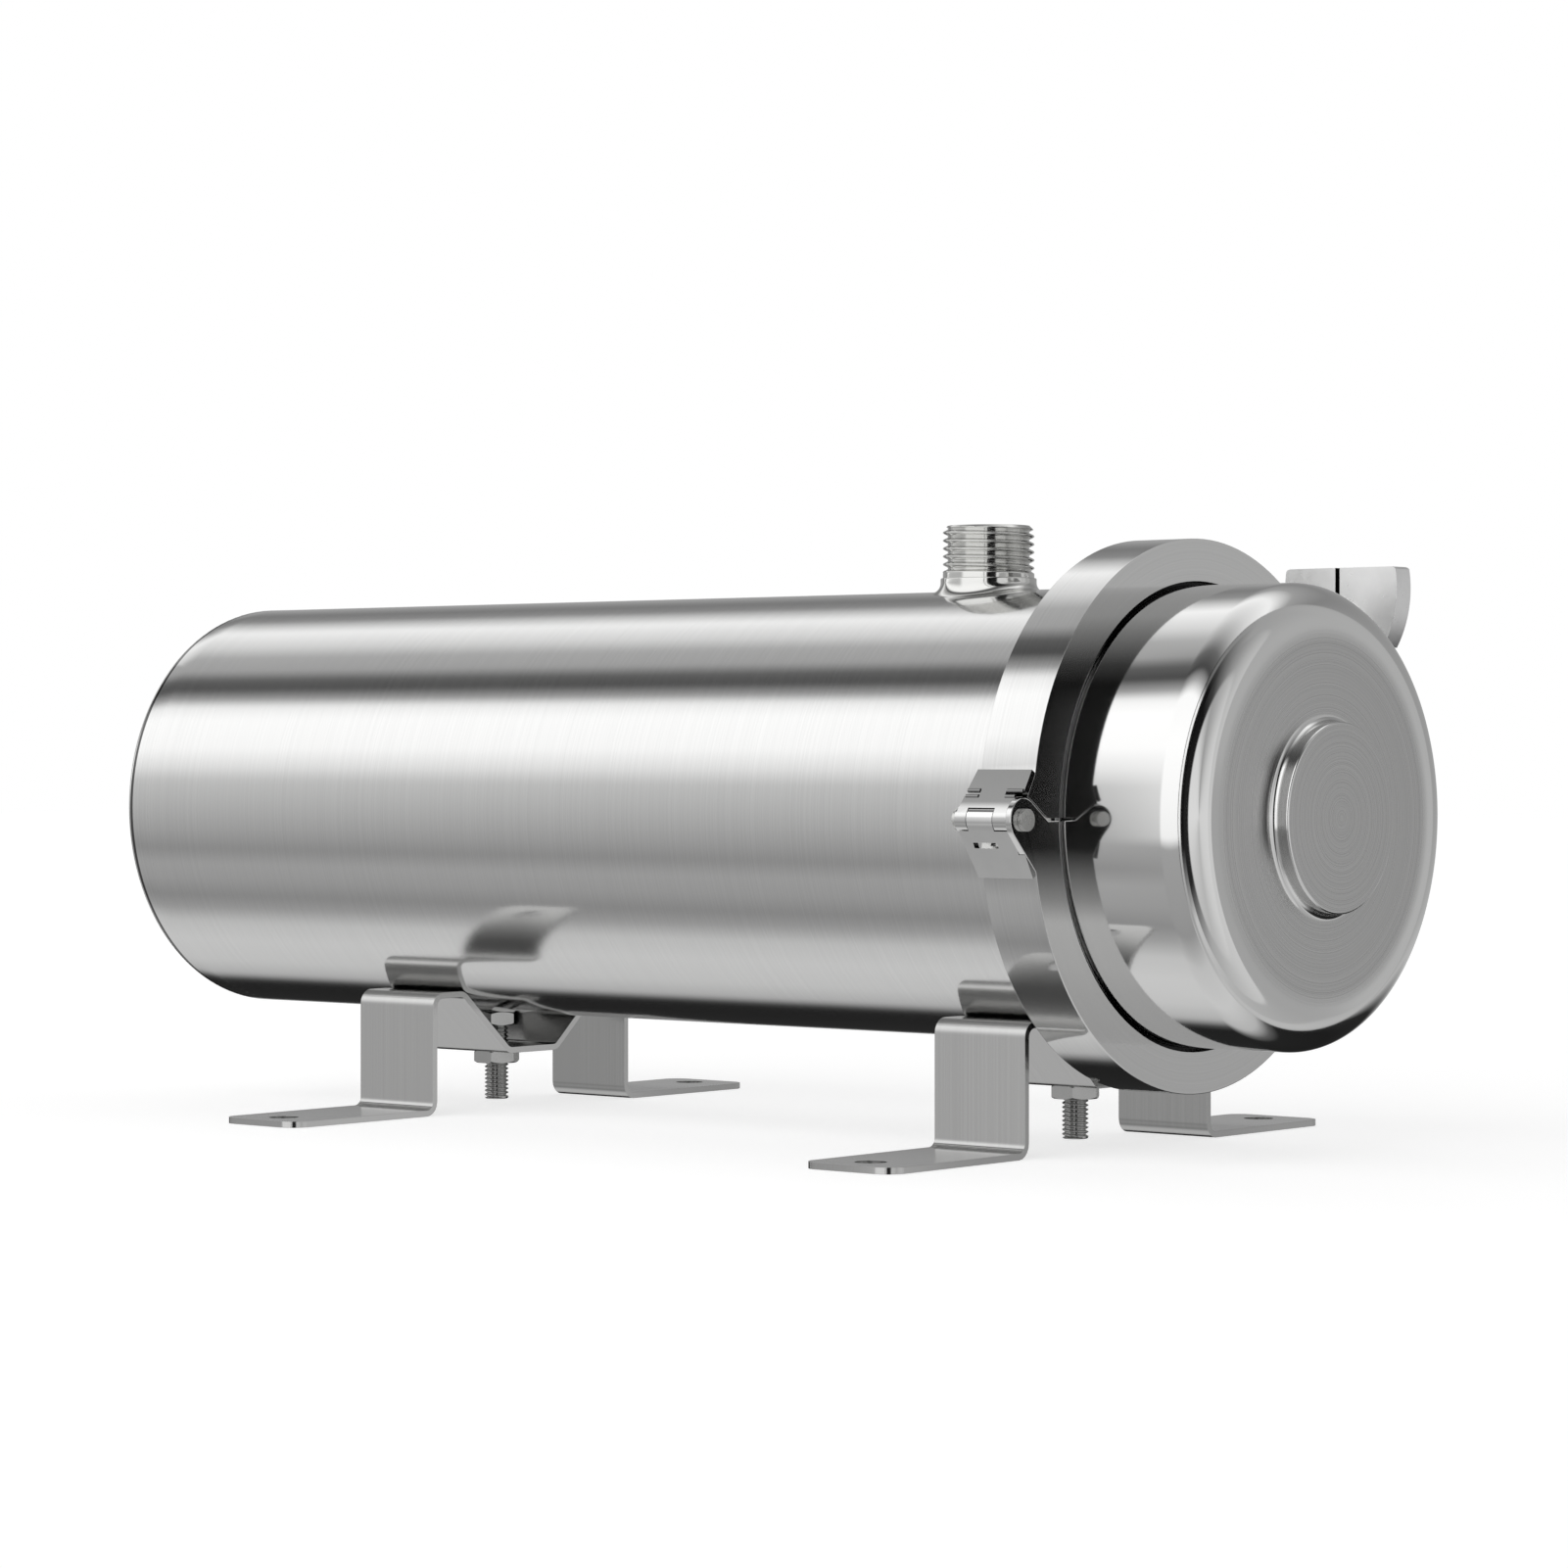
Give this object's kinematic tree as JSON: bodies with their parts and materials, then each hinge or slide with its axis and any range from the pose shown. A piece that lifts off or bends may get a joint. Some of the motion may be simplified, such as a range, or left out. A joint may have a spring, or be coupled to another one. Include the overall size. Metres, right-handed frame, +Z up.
{
  "type": "ultrafiltration water purifier",
  "caption": "Stainless steel tube housing for a hollow fibre membrane, with threaded ports, a domed end cap held by a hinged clamp ring with a wing nut, and bolted sheet brackets.",
  "frame": {"origin": "on the floor plane, at the centre of the four foot holes, midway between the two brackets", "axes": "+X along the tube towards the removable end cap, +Z up through the inlet port, +Y towards the clamp's wing nut, -Y towards the clamp's hinge"},
  "size_m": [0.3477, 0.1644, 0.1405],
  "materials": {
    "tube_steel": "satin, brushed round the tube",
    "cap_steel": "spun and polished",
    "clamp_steel": "tumbled, semi-bright sheet",
    "port_steel": "turned",
    "bolt_steel": "cast and turned, dull",
    "bracket_steel": "cold rolled, satin",
    "fastener_steel": "plain",
    "silicone": "matt, translucent white",
    "black_rubber": "matt",
    "white_plastic": "moulded, matt",
    "potting": "cast resin, amber",
    "membrane": "fibrous, off-white"
  },
  "bodies": {
    "housing": {"housing_tube": "tube_steel", "rear_head": "cap_steel", "housing_ferrule": "port_steel", "inlet_port": "port_steel", "outlet_port": "port_steel", "flush_port": "port_steel", "end_cap": "cap_steel", "cap_ferrule": "port_steel", "clamp_gasket": "silicone", "clamp_lower": "clamp_steel", "lower_hinge_leaf": "clamp_steel", "hinge_pin": "fastener_steel", "lower_latch_ears": "clamp_steel", "bolt_pivot_pin": "fastener_steel", "stud_weld_hexes": "fastener_steel", "mounting_studs": "fastener_steel", "front_bracket": "bracket_steel", "rear_bracket": "bracket_steel", "bracket_nuts": "fastener_steel", "outlet_socket": "port_steel", "collector_fitting": "white_plastic", "spigot_o_rings": "black_rubber", "cartridge_sleeve": "white_plastic", "potted_end": "potting", "fibre_bundle": "membrane", "grip_fitting": "white_plastic", "centring_ring": "white_plastic", "end_buffer": "black_rubber"},
    "clamp_top": {"clamp_upper": "clamp_steel", "upper_hinge_leaf": "clamp_steel", "upper_latch_seat": "clamp_steel"},
    "bolt": {"swing_bolt": "bolt_steel"},
    "washer": {"nut_washer": "fastener_steel"},
    "nut": {"wing_nut": "bolt_steel"}
  },
  "joints": [
    {"name": "bolt_swing", "type": "hinge", "parent": "housing", "child": "bolt", "pos_m": [0.11685, 0.0694, 0.0626], "axis": [1, 0, 0], "range_deg": [-100, 0]},
    {"name": "washer_travel", "type": "slide", "parent": "bolt", "child": "washer", "axis": [0, 0, 1], "range_m": [0, 0.0125]},
    {"name": "nut_spin", "type": "hinge", "parent": "washer", "child": "nut", "pos_m": [0.11685, 0.0694, 0.10232], "axis": [0, 0, 1], "range_deg": [0, 3600]},
    {"name": "clamp_hinge", "type": "hinge", "parent": "housing", "child": "clamp_top", "pos_m": [0.11685, -0.0644, 0.0746], "axis": [1, 0, 0], "range_deg": [0, 5.04]}
  ],
  "couplings": [
    {"joint": "washer_travel", "follows": "nut_spin", "m_per_rad": 0.00019894},
    {"joint": "clamp_hinge", "follows": "nut_spin", "ratio": 0.001401}
  ]
}
